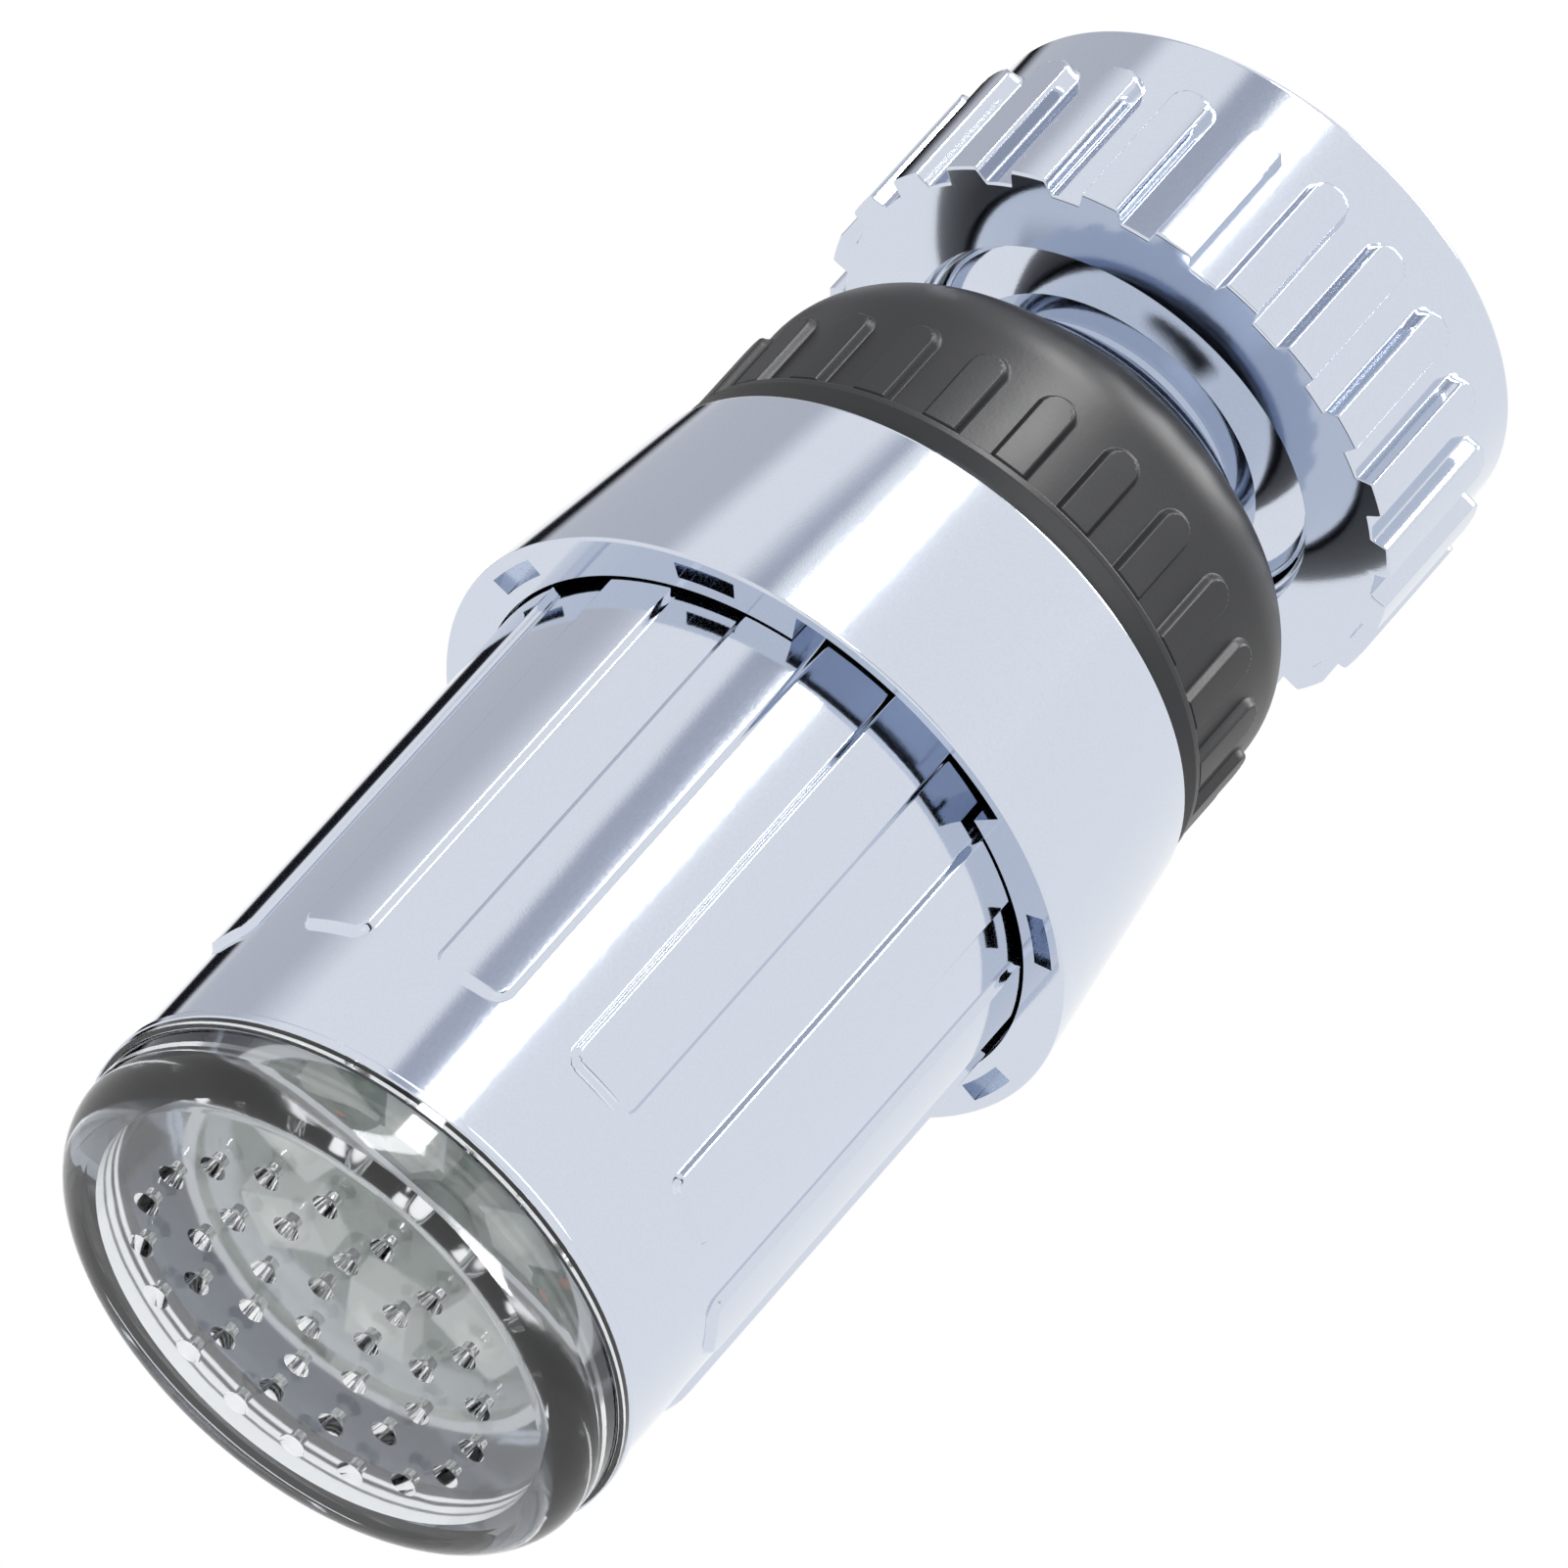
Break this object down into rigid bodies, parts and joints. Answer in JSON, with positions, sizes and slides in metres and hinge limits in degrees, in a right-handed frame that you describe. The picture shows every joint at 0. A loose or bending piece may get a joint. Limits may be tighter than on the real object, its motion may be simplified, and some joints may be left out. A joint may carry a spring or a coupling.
{
  "type": "led faucet light",
  "caption": "Swivelling tap-end light with ribbed chrome union nut, ball joint, black ring, ribbed chrome body and clear spray outlet.",
  "frame": {"origin": "centre of the clear outlet face", "axes": "+Z from the outlet up to the tap thread along the body axis; +X runs through one flat rib of the barrel"},
  "size_m": [0.03, 0.03, 0.0671],
  "materials": {
    "chrome_plate": "bright chrome plate on moulded plastic",
    "black_plastic": "satin moulded black plastic",
    "clear_plastic": "clear moulded plastic",
    "white_plastic": "moulded",
    "grey_plastic": "moulded",
    "black_rubber": "moulded rubber",
    "spring_steel": "hardened spring steel",
    "stainless": "drawn and ground",
    "bronze": "sintered",
    "magnet": "sintered magnet",
    "core_steel": "pressed and zinc plated",
    "copper": "enamelled copper wire",
    "board": "green solder resist",
    "lamp": "white lamp package with yellow gel",
    "chip": "moulded epoxy",
    "can": "drawn can"
  },
  "bodies": {
    "light_body": {"retaining_ring": "black_plastic", "ball_seat": "white_plastic", "upper_shell": "chrome_plate", "body_seal": "black_rubber", "barrel": "chrome_plate", "cap_gasket": "black_rubber", "outlet_cap": "clear_plastic", "jet_plate": "grey_plastic", "shaft_bushes": "bronze", "generator_housing": "white_plastic", "stator_core": "core_steel", "coil_bobbin": "white_plastic", "coil_winding": "copper", "coil_leads": "copper", "led_board": "board", "leds": "lamp", "control_chip": "chip", "rectifier": "chip", "capacitor": "can", "led_window": "clear_plastic"},
    "tilt_direction": {"ball_seal": "black_rubber"},
    "stem": {"ball_stem": "chrome_plate", "stem_clip": "spring_steel", "inlet_washer": "black_rubber", "filter_screen": "stainless"},
    "nut": {"swivel_nut": "chrome_plate"},
    "rotor": {"turbine_rotor": "white_plastic", "rotor_shaft": "stainless", "rotor_magnet": "magnet"}
  },
  "joints": [
    {"name": "ball_swivel", "type": "hinge", "parent": "light_body", "child": "tilt_direction", "pos_m": [0, 0, 0.04686], "axis": [0, 0, 1], "continuous": true},
    {"name": "ball_tilt", "type": "hinge", "parent": "tilt_direction", "child": "stem", "pos_m": [0, 0, 0.04686], "axis": [1, 0, 0], "range_deg": [-20, 20]},
    {"name": "nut_turn", "type": "hinge", "parent": "stem", "child": "nut", "pos_m": [0, 0, 0.04686], "axis": [0, 0, 1], "continuous": true},
    {"name": "rotor_spin", "type": "hinge", "parent": "light_body", "child": "rotor", "pos_m": [0, 0, 0.04686], "axis": [0, 0, 1], "continuous": true}
  ]
}
